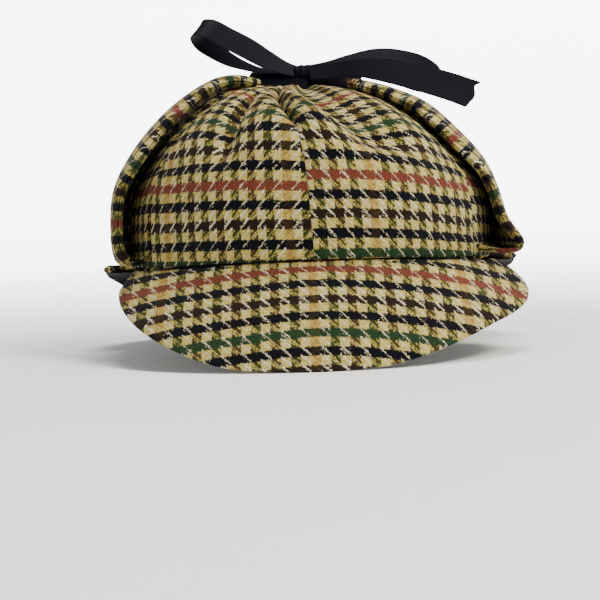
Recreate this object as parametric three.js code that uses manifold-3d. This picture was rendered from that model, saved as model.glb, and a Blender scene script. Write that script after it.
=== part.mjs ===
// Deerstalker hat of checked tweed: a crown of six gores, a peak at the front and one at the back,
// and two ear flaps folded up and tied over the top with a satin ribbon bow.
// Millimetres, +Z up, front peak towards -Y. The origin lies on the surface that the hat rests on,
// under the middle of the crown. The hat rests on the lowest stretch of each peak's edge.
import * as THREE from 'three';
import { mergeVertices } from 'three/addons/utils/BufferGeometryUtils.js';
import Module from 'manifold-3d';

// Driving dimensions
const GAP = 0.3;
const CROWN = { halfWidth: 82.5, halfLength: 100, frontRim: 43.5, sideRim: 40, apex: 121, cloth: 2.5 };
const PEAK = { end: 76, board: 3, lining: 1, liningLength: 0.90, rootGap: 0.4 };
const FLAP = { ply: 2.3, facingStart: 3, rootGrowth: 17.5, sideGrowth: 40, topRadius: 190 };
const RIBBON = { thickness: 1 };
const KNOT = { x: -0.5, y: -4, z: 126, halfLength: 7, halfDepth: 8, halfHeight: 4.6 };

// How finely the cloth is cut into facets
const GORE_CELLS = { across: 10, up: 12 };
const PEAK_CELLS = { around: 24, out: 5 };
const FLAP_CELLS = { across: 10, along: 17 };

// The crown from rim to top: how far out it reaches and how far it has risen, as shares, at the front
// and at the sides, where the tied flaps press it rounder.
const crownRows = [
  { climb: 0.00, frontReach: 1.000, frontRise: 0.000, sideReach: 1.000, sideRise: 0.000 },
  { climb: 0.09, frontReach: 1.000, frontRise: 0.224, sideReach: 1.000, sideRise: 0.150 },
  { climb: 0.18, frontReach: 0.993, frontRise: 0.359, sideReach: 0.995, sideRise: 0.280 },
  { climb: 0.27, frontReach: 0.978, frontRise: 0.508, sideReach: 0.965, sideRise: 0.385 },
  { climb: 0.36, frontReach: 0.955, frontRise: 0.647, sideReach: 0.908, sideRise: 0.464 },
  { climb: 0.45, frontReach: 0.905, frontRise: 0.772, sideReach: 0.836, sideRise: 0.551 },
  { climb: 0.54, frontReach: 0.820, frontRise: 0.847, sideReach: 0.735, sideRise: 0.654 },
  { climb: 0.63, frontReach: 0.700, frontRise: 0.898, sideReach: 0.617, sideRise: 0.756 },
  { climb: 0.72, frontReach: 0.540, frontRise: 0.944, sideReach: 0.495, sideRise: 0.850 },
  { climb: 0.82, frontReach: 0.340, frontRise: 0.977, sideReach: 0.330, sideRise: 0.930 },
  { climb: 0.92, frontReach: 0.150, frontRise: 0.993, sideReach: 0.150, sideRise: 0.975 },
  { climb: 1.00, frontReach: 0.022, frontRise: 1.000, sideReach: 0.022, sideRise: 1.000 },
];

// Gathers that run down from the top: the direction from the front in degrees, the half spread in
// degrees and the depth in millimetres. A sharp one is a seam, a soft one a fold in the cloth.
const gatherRows = [
  { angle: 0, spread: 20, depth: 5.0, sharp: true },
  { angle: 32, spread: 15, depth: 3.5, sharp: false },
  { angle: -28, spread: 15, depth: 3.5, sharp: false },
  { angle: 60, spread: 16, depth: 2.5, sharp: true },
  { angle: -60, spread: 16, depth: 2.5, sharp: true },
  { angle: 120, spread: 16, depth: 3.0, sharp: true },
  { angle: -120, spread: 16, depth: 3.0, sharp: true },
  { angle: 148, spread: 14, depth: 3.0, sharp: false },
  { angle: -152, spread: 14, depth: 3.0, sharp: false },
  { angle: 180, spread: 18, depth: 4.0, sharp: true },
];
const GATHERS = { start: 0.36, full: 0.62, fade: 0.80, atTop: 0.25 };

// The peaks' outer edges, for the left and right halves of the front peak and for each half of the
// back peak: how far out from the crown and how far down from the front rim they lie, in millimetres,
// by the angle from the middle of the peak in degrees. The front peak's right end is pushed out
// further than its left end, and both ends of the back peak are turned up.
const peakRows = {
  left: [
    { angle: 0, out: 41.0, drop: 44.3 },
    { angle: 12, out: 40.2, drop: 42.9 },
    { angle: 22, out: 38.0, drop: 38.9 },
    { angle: 31, out: 34.2, drop: 33.0 },
    { angle: 40, out: 29.0, drop: 27.1 },
    { angle: 50, out: 22.0, drop: 21.5 },
    { angle: 60, out: 15.5, drop: 16.5 },
    { angle: 68, out: 10.0, drop: 12.5 },
    { angle: 76, out: 3.0, drop: 9.0 },
  ],
  right: [
    { angle: 0, out: 41.0, drop: 44.3 },
    { angle: 12, out: 39.6, drop: 42.4 },
    { angle: 22, out: 37.0, drop: 37.9 },
    { angle: 31, out: 34.2, drop: 32.9 },
    { angle: 40, out: 31.0, drop: 28.3 },
    { angle: 50, out: 25.5, drop: 23.7 },
    { angle: 60, out: 23.0, drop: 18.5 },
    { angle: 68, out: 19.0, drop: 14.0 },
    { angle: 76, out: 10.0, drop: 8.0 },
  ],
  back: [
    { angle: 0, out: 41.0, drop: 44.3 },
    { angle: 12, out: 40.5, drop: 42.9 },
    { angle: 22, out: 38.5, drop: 38.5 },
    { angle: 31, out: 35.5, drop: 32.5 },
    { angle: 40, out: 32.0, drop: 26.5 },
    { angle: 50, out: 28.5, drop: 20.0 },
    { angle: 60, out: 25.5, drop: 13.5 },
    { angle: 68, out: 21.5, drop: 9.5 },
    { angle: 76, out: 10.0, drop: 6.5 },
  ],
};
const PEAK_BOW = { out: 0.4, drop: 0.1 };

// The outside of each flap in the upright plane through the ears, from the fold at its root to its tip:
// the distance from the middle, the height, and the flap's half width.
const flapRows = {
  left: [
    { x: 83.0, z: 52.0, half: 50 },
    { x: 83.0, z: 45.0, half: 50 },
    { x: 84.1, z: 41.6, half: 50 },
    { x: 86.6, z: 40.3, half: 50 },
    { x: 89.3, z: 41.6, half: 50 },
    { x: 90.4, z: 45.0, half: 50 },
    { x: 91.2, z: 62.0, half: 50 },
    { x: 89.0, z: 77.0, half: 50 },
    { x: 82.0, z: 90.5, half: 48 },
    { x: 70.4, z: 105.0, half: 43 },
    { x: 55.0, z: 118.0, half: 36 },
    { x: 40.2, z: 125.6, half: 28 },
    { x: 30.0, z: 126.4, half: 23 },
    { x: 23.0, z: 124.6, half: 17 },
    { x: 19.0, z: 123.2, half: 8 },
  ],
  right: [
    { x: 83.0, z: 52.0, half: 50 },
    { x: 83.0, z: 45.0, half: 50 },
    { x: 84.1, z: 41.6, half: 50 },
    { x: 86.6, z: 40.3, half: 50 },
    { x: 89.3, z: 41.6, half: 50 },
    { x: 90.4, z: 45.0, half: 50 },
    { x: 90.2, z: 60.0, half: 50 },
    { x: 86.5, z: 73.0, half: 50 },
    { x: 80.2, z: 85.4, half: 48 },
    { x: 69.6, z: 98.0, half: 43 },
    { x: 55.5, z: 111.0, half: 36 },
    { x: 40.0, z: 118.2, half: 28 },
    { x: 29.0, z: 121.6, half: 23 },
    { x: 22.0, z: 122.8, half: 17 },
    { x: 18.0, z: 122.8, half: 8 },
  ],
};
// How far the lower front and back corners of a flap stand out, in millimetres.
const flapFlare = { left: 2, right: 13.3 };
const FLARE = { start: 0.05, peak: 0.10, end: 0.30 };

// Ribbon runs: points along the middle of the ribbon, its width there, and the x and z shares of the
// direction across it. The direction's y share makes up the rest.
const ribbonRows = {
  ribbon_tie_left: [
    { x: -28, y: -4, z: 127.6, wide: 10, acrossX: 0.05, acrossZ: 0.00 },
    { x: -21, y: -4, z: 125.4, wide: 10, acrossX: 0.05, acrossZ: 0.00 },
    { x: -15, y: -4, z: 123.8, wide: 9, acrossX: 0.05, acrossZ: 0.00 },
    { x: -5, y: -4, z: 123.4, wide: 8, acrossX: 0.05, acrossZ: 0.00 },
  ],
  ribbon_tie_right: [
    { x: 26, y: -4, z: 123.6, wide: 10, acrossX: 0.00, acrossZ: 0.00 },
    { x: 19, y: -4, z: 124.1, wide: 10, acrossX: 0.00, acrossZ: 0.00 },
    { x: 13, y: -4, z: 123.8, wide: 9, acrossX: 0.00, acrossZ: 0.00 },
    { x: 3, y: -4, z: 123.4, wide: 8, acrossX: 0.00, acrossZ: 0.00 },
  ],
  bow_loop_left: [
    { x: -4, y: -6, z: 127.0, wide: 8, acrossX: 0.42, acrossZ: 0.55 },
    { x: -10, y: -6, z: 129.0, wide: 10, acrossX: 0.42, acrossZ: 0.55 },
    { x: -17, y: -5, z: 132.6, wide: 13, acrossX: 0.42, acrossZ: 0.55 },
    { x: -26, y: -4, z: 138.3, wide: 15, acrossX: 0.42, acrossZ: 0.55 },
    { x: -35.5, y: -4, z: 143.7, wide: 15, acrossX: 0.42, acrossZ: 0.54 },
    { x: -44.0, y: -4, z: 148.2, wide: 15, acrossX: 0.43, acrossZ: 0.53 },
    { x: -48.6, y: -3, z: 148.0, wide: 15, acrossX: 0.42, acrossZ: 0.50 },
    { x: -47.4, y: 0, z: 143.6, wide: 15, acrossX: 0.38, acrossZ: 0.46 },
    { x: -40, y: 4, z: 137.6, wide: 15, acrossX: 0.32, acrossZ: 0.42 },
    { x: -31, y: 7, z: 132.4, wide: 14, acrossX: 0.22, acrossZ: 0.34 },
    { x: -21, y: 7, z: 128.6, wide: 11, acrossX: 0.12, acrossZ: 0.26 },
    { x: -12, y: 3, z: 126.6, wide: 8, acrossX: 0.06, acrossZ: 0.22 },
    { x: -4, y: -1, z: 125.6, wide: 6, acrossX: 0.05, acrossZ: 0.20 },
  ],
  bow_loop_right: [
    { x: 2, y: -2, z: 128.5, wide: 7, acrossX: -0.05, acrossZ: 0.40 },
    { x: 12, y: 1, z: 129.4, wide: 10, acrossX: -0.10, acrossZ: 0.46 },
    { x: 22, y: 4, z: 131.2, wide: 13, acrossX: -0.14, acrossZ: 0.52 },
    { x: 34, y: 6, z: 133.0, wide: 15, acrossX: -0.18, acrossZ: 0.54 },
    { x: 46, y: 6, z: 132.0, wide: 15, acrossX: -0.18, acrossZ: 0.54 },
    { x: 57, y: 6, z: 128.4, wide: 15, acrossX: -0.18, acrossZ: 0.54 },
    { x: 63, y: 6, z: 123.2, wide: 15, acrossX: -0.16, acrossZ: 0.50 },
    { x: 61, y: 6.5, z: 118.6, wide: 15, acrossX: -0.12, acrossZ: 0.45 },
    { x: 52, y: 7, z: 118.8, wide: 15, acrossX: -0.08, acrossZ: 0.38 },
    { x: 40, y: 8, z: 122.4, wide: 14, acrossX: -0.05, acrossZ: 0.28 },
    { x: 28, y: 8, z: 125.4, wide: 12, acrossX: -0.02, acrossZ: 0.20 },
    { x: 17, y: 7, z: 126.2, wide: 9, acrossX: 0.00, acrossZ: 0.16 },
    { x: 8, y: 3, z: 125.6, wide: 6, acrossX: 0.00, acrossZ: 0.14 },
    { x: 2, y: 0, z: 125.2, wide: 6, acrossX: 0.00, acrossZ: 0.14 },
  ],
  bow_tail_front: [
    { x: 2, y: -9, z: 126.0, wide: 9, acrossX: 0.00, acrossZ: 0.80 },
    { x: 12, y: -10, z: 126.6, wide: 9, acrossX: -0.02, acrossZ: 0.82 },
    { x: 24, y: -11.5, z: 127.4, wide: 10.5, acrossX: -0.02, acrossZ: 0.84 },
    { x: 38, y: -12.5, z: 125.6, wide: 14, acrossX: 0.05, acrossZ: 0.84 },
    { x: 52, y: -13, z: 121.8, wide: 15, acrossX: 0.12, acrossZ: 0.85 },
    { x: 65, y: -13, z: 117.6, wide: 15, acrossX: 0.20, acrossZ: 0.86 },
    { x: 78, y: -13, z: 112.6, wide: 15, acrossX: 0.30, acrossZ: 0.86 },
  ],
  bow_tail_back: [
    { x: -1, y: -1, z: 123.6, wide: 8, acrossX: 0.98, acrossZ: 0.00 },
    { x: -1, y: 8, z: 123.2, wide: 9, acrossX: 0.98, acrossZ: 0.00 },
    { x: -1, y: 18, z: 122.2, wide: 12, acrossX: 0.98, acrossZ: 0.00 },
    { x: -2, y: 30, z: 121.9, wide: 15, acrossX: 0.98, acrossZ: 0.00 },
    { x: -5, y: 46, z: 120.6, wide: 15, acrossX: 0.98, acrossZ: 0.00 },
    { x: -9, y: 62, z: 118.0, wide: 15, acrossX: 0.97, acrossZ: 0.00 },
    { x: -13, y: 77, z: 114.0, wide: 15, acrossX: 0.96, acrossZ: 0.00 },
  ],
};
const RIBBON_STEP = 3.5;

const cloth = { color: 0xa8976a, roughness: 0.95, metalness: 0 };
const satin = { color: 0x1d1b26, roughness: 0.4, metalness: 0 };

const { clamp, degToRad, lerp, smoothstep } = THREE.MathUtils;

// A smooth value from a table's column, looked up by another column that rises from row to row.
function readTable(rows, key, column, value) {
  let low = 0;
  while (low < rows.length - 2 && value > rows[low + 1][key]) low += 1;
  const share = clamp((value - rows[low][key]) / (rows[low + 1][key] - rows[low][key]), 0, 1);
  const at = (index) => rows[clamp(index, 0, rows.length - 1)][column];
  const rise = (index) => (at(index + 1) - at(index - 1)) / 2;
  const square = share * share;
  const cube = square * share;
  return (2 * cube - 3 * square + 1) * at(low) + (cube - 2 * square + share) * rise(low)
    + (3 * square - 2 * cube) * at(low + 1) + (cube - square) * rise(low + 1);
}

// One closed mesh from an outer and an inner sheet of points, both given over the unit square.
function clothBody(outer, inner, across, along) {
  const positions = [];
  const sheets = [outer, inner];
  for (const sheet of sheets) {
    for (let row = 0; row <= along; row += 1) {
      for (let column = 0; column <= across; column += 1) {
        positions.push(...sheet(column / across, row / along).toArray());
      }
    }
  }
  const width = across + 1;
  const sheetSize = width * (along + 1);
  const faces = [];
  const quad = (a, b, c, d) => faces.push(a, b, c, a, c, d);
  for (let row = 0; row < along; row += 1) {
    for (let column = 0; column < across; column += 1) {
      const a = row * width + column;
      quad(a, a + 1, a + 1 + width, a + width);
      quad(a + sheetSize, a + width + sheetSize, a + 1 + width + sheetSize, a + 1 + sheetSize);
    }
  }
  const rim = [];
  for (let column = 0; column < across; column += 1) rim.push(column);
  for (let row = 0; row < along; row += 1) rim.push(row * width + across);
  for (let column = across; column > 0; column -= 1) rim.push(along * width + column);
  for (let row = along; row > 0; row -= 1) rim.push(row * width);
  rim.forEach((from, index) => {
    const to = rim[(index + 1) % rim.length];
    quad(to, from, from + sheetSize, to + sheetSize);
  });
  return facedOut(positions, faces);
}

// A geometry from points and faces, turned so that its faces point out.
function facedOut(positions, faces) {
  const corner = (index) => new THREE.Vector3().fromArray(positions, index * 3);
  let volume = 0;
  for (let face = 0; face < faces.length; face += 3) {
    volume += corner(faces[face]).dot(corner(faces[face + 1]).cross(corner(faces[face + 2])));
  }
  if (volume < 0) {
    for (let face = 0; face < faces.length; face += 3) {
      [faces[face + 1], faces[face + 2]] = [faces[face + 2], faces[face + 1]];
    }
  }
  const geometry = new THREE.BufferGeometry();
  geometry.setAttribute('position', new THREE.Float32BufferAttribute(positions, 3));
  geometry.setIndex(faces);
  return geometry;
}

// Solids for cutting one shape with another
const wasm = await Module();
wasm.setup();

function toSolid(geometry) {
  const bare = geometry.clone();
  bare.deleteAttribute('normal');
  bare.deleteAttribute('uv');
  const merged = mergeVertices(bare);
  const mesh = new wasm.Mesh({
    numProp: 3,
    vertProperties: new Float32Array(merged.attributes.position.array),
    triVerts: new Uint32Array(merged.index.array),
  });
  return new wasm.Manifold(mesh);
}

function fromSolid(solid) {
  const { vertProperties, triVerts } = solid.getMesh();
  const geometry = new THREE.BufferGeometry();
  geometry.setAttribute('position', new THREE.BufferAttribute(vertProperties, 3));
  geometry.setIndex(new THREE.BufferAttribute(triVerts, 1));
  return geometry;
}

// Crown

function smoothCrown(angle, climb) {
  const side = Math.sin(angle) ** 2;
  const reach = lerp(readTable(crownRows, 'climb', 'frontReach', climb),
    readTable(crownRows, 'climb', 'sideReach', climb), side);
  const rise = lerp(readTable(crownRows, 'climb', 'frontRise', climb),
    readTable(crownRows, 'climb', 'sideRise', climb), side);
  const rim = lerp(CROWN.frontRim, CROWN.sideRim, side);
  return new THREE.Vector3(
    CROWN.halfWidth * reach * Math.sin(angle),
    -CROWN.halfLength * reach * Math.cos(angle),
    lerp(rim, CROWN.apex, rise),
  );
}

function crownNormal(angle, climb) {
  const step = 0.01;
  const around = smoothCrown(angle + step, climb).sub(smoothCrown(angle - step, climb));
  const lower = Math.max(climb - step, 0);
  const upper = Math.min(climb + step, 1);
  const up = smoothCrown(angle, upper).sub(smoothCrown(angle, lower));
  return around.cross(up).normalize();
}

function gatherDepth(angle, climb) {
  const grown = smoothstep(climb, GATHERS.start, GATHERS.full);
  const kept = lerp(1, GATHERS.atTop, smoothstep(climb, GATHERS.fade, 1));
  let depth = 0;
  for (const row of gatherRows) {
    const away = Math.abs(THREE.MathUtils.euclideanModulo(angle - degToRad(row.angle) + Math.PI, 2 * Math.PI)
      - Math.PI) / degToRad(row.spread);
    if (away >= 1) continue;
    const shape = row.sharp ? (1 - away) ** 2 : (1 + Math.cos(Math.PI * away)) / 2;
    depth += row.depth * shape;
  }
  return depth * grown * kept;
}

function crownSkin(angle, climb, depth) {
  const inward = crownNormal(angle, climb).multiplyScalar(-(depth + gatherDepth(angle, climb)));
  return smoothCrown(angle, climb).add(inward);
}

function gore(middle) {
  const half = Math.PI / 6;
  const sheet = (depth) => (across, up) => {
    const angle = degToRad(middle) + lerp(-half, half, across);
    const along = new THREE.Vector3(CROWN.halfWidth * Math.cos(angle), CROWN.halfLength * Math.sin(angle), 0);
    const inset = along.normalize().multiplyScalar(lerp(GAP / 2, -GAP / 2, across));
    return crownSkin(angle, up, depth).add(inset);
  };
  return clothBody(sheet(0), sheet(CROWN.cloth), GORE_CELLS.across, GORE_CELLS.up);
}

// Peaks

function peakPoint(place, angle, out, depth) {
  const degrees = Math.abs(THREE.MathUtils.radToDeg(angle));
  const side = angle < 0 ? 'left' : 'right';
  const hand = place === 'back' ? 'back' : side;
  const arch = CROWN.frontRim - smoothCrown(angle, 0).z;
  const reach = readTable(peakRows[hand], 'angle', 'out', degrees);
  const fall = readTable(peakRows[hand], 'angle', 'drop', degrees) - arch;
  const direction = new THREE.Vector3(
    Math.sin(angle) / CROWN.halfWidth, -Math.cos(angle) / CROWN.halfLength, 0).normalize();
  const along = reach * (out * (1 + PEAK_BOW.out) - out * out * PEAK_BOW.out);
  const down = fall * (out * (1 + PEAK_BOW.drop) - out * out * PEAK_BOW.drop);
  const slopeOut = reach * (1 + PEAK_BOW.out - 2 * out * PEAK_BOW.out);
  const slopeDown = fall * (1 + PEAK_BOW.drop - 2 * out * PEAK_BOW.drop);
  const slope = Math.hypot(slopeOut, slopeDown);
  const sideways = PEAK.rootGap + along - depth * slopeDown / slope;
  return smoothCrown(angle, 0)
    .add(direction.multiplyScalar(sideways))
    .add(new THREE.Vector3(0, 0, -down - depth * slopeOut / slope));
}

function peakLayer(place, depth, thickness, length) {
  const end = degToRad(PEAK.end);
  const sheet = (below) => (across, out) => peakPoint(place, lerp(-end, end, across), out * length, below);
  const turn = place === 'back' ? Math.PI : 0;
  return clothBody(sheet(depth), sheet(depth + thickness), PEAK_CELLS.around, PEAK_CELLS.out).rotateZ(turn);
}

// The board's lowest edge is pressed flat where the hat rests on it.
function peakBoard(place) {
  const reach = 2 * CROWN.halfLength;
  const below = new THREE.BoxGeometry(2 * reach, 2 * reach, reach).translate(0, 0, -reach / 2);
  return fromSolid(toSolid(peakLayer(place, 0, PEAK.board, 1)).subtract(toSolid(below)));
}

function peakLining(place) {
  return peakLayer(place, PEAK.board + GAP, PEAK.lining, PEAK.liningLength);
}

// Ear flaps

function flapSheet(name, depth, start) {
  const rows = flapRows[name];
  const side = name === 'left' ? -1 : 1;
  const course = new THREE.CatmullRomCurve3(rows.map((row) => new THREE.Vector3(row.x, row.half, row.z)));
  return (across, along) => {
    const way = lerp(start, 1, along);
    const point = course.getPointAt(way);
    const tangent = course.getTangentAt(way);
    const length = Math.hypot(tangent.x, tangent.z);
    const outX = tangent.z / length;
    const outZ = -tangent.x / length;
    const y = lerp(-point.y, point.y, across);
    const lift = (CROWN.frontRim - CROWN.sideRim) * (y / CROWN.halfLength) ** 2;
    const flaring = smoothstep(way, FLARE.start, FLARE.peak) * (1 - smoothstep(way, FLARE.peak, FLARE.end));
    const flare = flapFlare[name] * flaring * smoothstep(Math.abs(lerp(-1, 1, across)), 0.2, 1);
    const middleX = point.x + outX * depth * -1;
    const growth = lerp(FLAP.rootGrowth, FLAP.sideGrowth, smoothstep(way, FLARE.start, FLARE.end));
    const plan = middleX * Math.sqrt(1 - (y / (middleX + growth)) ** 2);
    const sag = y * y / (2 * FLAP.topRadius) * Math.max(outZ, 0);
    const settled = 1 - smoothstep(way, FLARE.peak, FLARE.end);
    return new THREE.Vector3(side * (plan + flare), y, point.z - outZ * depth - sag + lift * settled);
  };
}

function flapPly(name, depth, firstRow) {
  const start = firstRow / FLAP_CELLS.along;
  return clothBody(flapSheet(name, depth, start), flapSheet(name, depth + FLAP.ply, start),
    FLAP_CELLS.across, FLAP_CELLS.along - firstRow);
}

// Ribbon

function knotShape(grow) {
  return new THREE.SphereGeometry(1, 14, 8)
    .rotateX(Math.PI / 2)
    .scale(KNOT.halfLength + grow, KNOT.halfDepth + grow, KNOT.halfHeight + grow)
    .translate(KNOT.x, KNOT.y, KNOT.z);
}

function ribbonBody(rows) {
  const course = new THREE.CatmullRomCurve3(rows.map((row) => new THREE.Vector3(row.x, row.y, row.z)));
  const marks = rows.map((row, index) => ({ ...row, mark: index / (rows.length - 1) }));
  const steps = Math.ceil(course.getLength() / RIBBON_STEP);
  const sheet = (lift) => (across, along) => {
    const mark = course.getUtoTmapping(along);
    const value = (column) => readTable(marks, 'mark', column, mark);
    const tangent = course.getTangent(mark);
    const acrossX = value('acrossX');
    const acrossZ = value('acrossZ');
    const direction = new THREE.Vector3(acrossX, Math.sqrt(1 - acrossX ** 2 - acrossZ ** 2), acrossZ);
    direction.addScaledVector(tangent, -direction.dot(tangent)).normalize();
    const face = tangent.clone().cross(direction);
    return course.getPoint(mark)
      .addScaledVector(direction, value('wide') * (across - 0.5))
      .addScaledVector(face, lift);
  };
  const half = RIBBON.thickness / 2;
  return clothBody(sheet(half), sheet(-half), 1, steps);
}

// Assembly

const hat = new THREE.Group();

function add(name, geometry, look) {
  const mesh = new THREE.Mesh(geometry, new THREE.MeshStandardMaterial(look));
  mesh.name = name;
  hat.add(mesh);
}

const gores = {
  front_right: 30,
  side_right: 90,
  back_right: 150,
  back_left: 210,
  side_left: 270,
  front_left: 330,
};
for (const [place, middle] of Object.entries(gores)) add(`gore_${place}`, gore(middle), cloth);

for (const place of ['front', 'back']) {
  add(`${place}_peak`, peakBoard(place), cloth);
  add(`${place}_peak_lining`, peakLining(place), satin);
}

for (const name of ['left', 'right']) {
  add(`ear_flap_${name}`, flapPly(name, 0, 0), cloth);
  add(`ear_flap_${name}_facing`, flapPly(name, FLAP.ply + GAP, FLAP.facingStart), cloth);
}

add('bow_knot', knotShape(0), satin);
const clearance = toSolid(knotShape(GAP));
for (const [name, rows] of Object.entries(ribbonRows)) {
  add(name, fromSolid(toSolid(ribbonBody(rows)).subtract(clearance)), satin);
}

export default hat;
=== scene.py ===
# %% [markdown]
# A deerstalker hat in checked tweed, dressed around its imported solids.
#
# The solids are the fixed frame: they say where each panel, peak, flap and ribbon lies. Every visible
# piece is made again here as fine cloth in the same place, in metres, with the front peak towards -Y.

import math

import bpy
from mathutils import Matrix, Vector


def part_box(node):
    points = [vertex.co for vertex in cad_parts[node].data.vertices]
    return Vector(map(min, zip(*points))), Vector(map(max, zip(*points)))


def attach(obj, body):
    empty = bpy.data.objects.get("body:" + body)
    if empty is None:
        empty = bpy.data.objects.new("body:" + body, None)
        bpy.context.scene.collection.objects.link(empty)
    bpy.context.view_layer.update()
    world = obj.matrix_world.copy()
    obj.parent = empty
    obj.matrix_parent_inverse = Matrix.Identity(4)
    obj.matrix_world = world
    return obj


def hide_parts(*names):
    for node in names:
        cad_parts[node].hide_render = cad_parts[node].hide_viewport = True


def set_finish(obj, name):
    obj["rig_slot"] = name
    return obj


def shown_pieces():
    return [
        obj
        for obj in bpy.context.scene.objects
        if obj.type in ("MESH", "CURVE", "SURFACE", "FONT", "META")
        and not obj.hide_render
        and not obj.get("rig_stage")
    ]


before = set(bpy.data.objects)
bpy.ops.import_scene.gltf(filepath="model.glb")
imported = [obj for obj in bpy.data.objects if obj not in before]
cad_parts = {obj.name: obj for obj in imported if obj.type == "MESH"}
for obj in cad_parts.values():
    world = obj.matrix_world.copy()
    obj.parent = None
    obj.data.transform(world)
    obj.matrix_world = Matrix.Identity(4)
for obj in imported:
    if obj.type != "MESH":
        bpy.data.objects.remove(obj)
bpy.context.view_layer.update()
bpy.ops.object.select_all(action="DESELECT")
print("solids", sorted(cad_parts))

# %% [markdown]
# The camera comes first. The picture was taken from a little above the rim, almost straight from the
# front, with the hat leaning a touch to its own left. A long lens keeps the perspective of a product
# picture.

# %% Camera
VIEW_UP = math.radians(3.0)
VIEW_SIDE = math.radians(-0.5)
VIEW_ROLL = math.radians(-2.0)
VIEW_DISTANCE = 1.100
VIEW_HEIGHT = 0.0219
VIEW_SHIFT = -0.00586
LENS_MM = 143
SENSOR_MM = 36


def place_camera():
    back = Vector((math.sin(VIEW_SIDE) * math.cos(VIEW_UP), -math.cos(VIEW_SIDE) * math.cos(VIEW_UP),
                   math.sin(VIEW_UP)))
    level = Vector((math.cos(VIEW_SIDE), math.sin(VIEW_SIDE), 0))
    upright = back.cross(level)
    right = level * math.cos(VIEW_ROLL) + upright * math.sin(VIEW_ROLL)
    up = upright * math.cos(VIEW_ROLL) - level * math.sin(VIEW_ROLL)
    place = Vector((0, 0, VIEW_HEIGHT)) + back * VIEW_DISTANCE + right * VIEW_SHIFT
    bpy.ops.object.camera_add(location=place)
    camera = bpy.context.object
    camera.name = "camera"
    camera.data.lens = LENS_MM
    camera.data.sensor_width = SENSOR_MM
    turn = camera.rotation_euler.to_matrix()
    turn.col[0] = right
    turn.col[1] = up
    turn.col[2] = back
    camera.rotation_euler = turn.to_euler()
    bpy.context.scene.camera = camera
    return camera


print("camera at", place_camera().location)

# %% [markdown]
# Cloth follows smooth curves, and a few rows of a table describe each curve: the crown's side view,
# the peak's edge, a flap's fold. Between the rows a value is read with an eased cubic, so the surface
# has no corners. The rows are in metres and follow the solids' own, but for a few millimetres where
# the picture shows the cloth fuller or closer.

# %% Reading a table smoothly
def read_row(rows, key, column, value):
    low = 0
    while low < len(rows) - 2 and value > rows[low + 1][key]:
        low += 1
    share = min(max((value - rows[low][key]) / (rows[low + 1][key] - rows[low][key]), 0), 1)

    def at(index):
        return rows[min(max(index, 0), len(rows) - 1)][column]

    def rise(index):
        return (at(index + 1) - at(index - 1)) / 2

    square = share * share
    cube = square * share
    return ((2 * cube - 3 * square + 1) * at(low) + (cube - 2 * square + share) * rise(low)
            + (3 * square - 2 * cube) * at(low + 1) + (cube - square) * rise(low + 1))


def table(heads, *rows):
    return [dict(zip(heads.split(), row)) for row in rows]


def ease(value, start, end):
    share = min(max((value - start) / (end - start), 0), 1)
    return share * share * (3 - 2 * share)


def mix(first, second, share):
    return first + (second - first) * share


# %% [markdown]
# The crown is a dome of cloth, upright at the rim, rounded at the shoulder and nearly flat on top. A
# sphere could be pulled into shape, but this dome's side view differs at the front, right and left.
# So three profiles stand in one table, as shares of the frame's own measures, from the rim at 0 to
# the top at 1, and every direction between them is a blend.

# %% The crown's measures, from the frame
crown_half_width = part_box("gore_side_right")[1].x
crown_half_length = -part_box("gore_front_right")[0].y
front_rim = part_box("front_peak")[1].z
side_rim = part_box("gore_side_right")[0].z
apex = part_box("gore_front_right")[1].z
CLOTH = 0.0022
print("crown", crown_half_width, crown_half_length, front_rim, side_rim, apex)

# %% The crown's curves
CROWN_ROWS = table(
    "climb front_reach front_rise right_reach right_rise left_reach left_rise",
    (0.00, 1.000, 0.000, 1.000, 0.000, 1.000, 0.000),
    (0.09, 1.000, 0.224, 1.000, 0.150, 1.000, 0.150),
    (0.18, 0.993, 0.359, 0.995, 0.280, 0.995, 0.280),
    (0.27, 0.978, 0.508, 0.965, 0.385, 0.975, 0.385),
    (0.36, 0.955, 0.647, 0.908, 0.464, 0.935, 0.468),
    (0.45, 0.905, 0.772, 0.836, 0.551, 0.885, 0.560),
    (0.54, 0.820, 0.847, 0.735, 0.654, 0.812, 0.672),
    (0.63, 0.700, 0.898, 0.617, 0.756, 0.715, 0.785),
    (0.72, 0.540, 0.944, 0.495, 0.850, 0.595, 0.880),
    (0.82, 0.340, 0.977, 0.330, 0.930, 0.400, 0.954),
    (0.92, 0.150, 0.993, 0.150, 0.975, 0.180, 0.984),
    (1.00, 0.022, 1.000, 0.022, 1.000, 0.022, 1.000),
)


def crown_row(column, climb):
    return read_row(CROWN_ROWS, "climb", column, climb)


def smooth_crown(angle, climb):
    side = math.sin(angle) ** 2
    hand = "left" if math.sin(angle) < 0 else "right"
    reach = mix(crown_row("front_reach", climb), crown_row(hand + "_reach", climb), side)
    rise = mix(crown_row("front_rise", climb), crown_row(hand + "_rise", climb), side)
    rim = mix(front_rim, side_rim, side)
    return Vector((crown_half_width * reach * math.sin(angle), -crown_half_length * reach * math.cos(angle),
                   mix(rim, apex, rise)))


def crown_normal(angle, climb):
    step = 0.01
    around = smooth_crown(angle + step, climb) - smooth_crown(angle - step, climb)
    up = smooth_crown(angle, min(climb + step, 1)) - smooth_crown(angle, max(climb - step, 0))
    return around.cross(up).normalized()


print("crown's right shoulder", smooth_crown(math.pi / 2, 0.5))

# %% [markdown]
# The bow pulls the top of the crown together, so the cloth gathers into furrows and ridges that run
# down from it, and the front seam is dragged to one side. Each furrow is one row of a table: where it
# starts at the shoulder, how far it leans as it climbs, how wide and how deep it is. A depth below
# zero is a swelling, and a sharp row is a crease.

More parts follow.
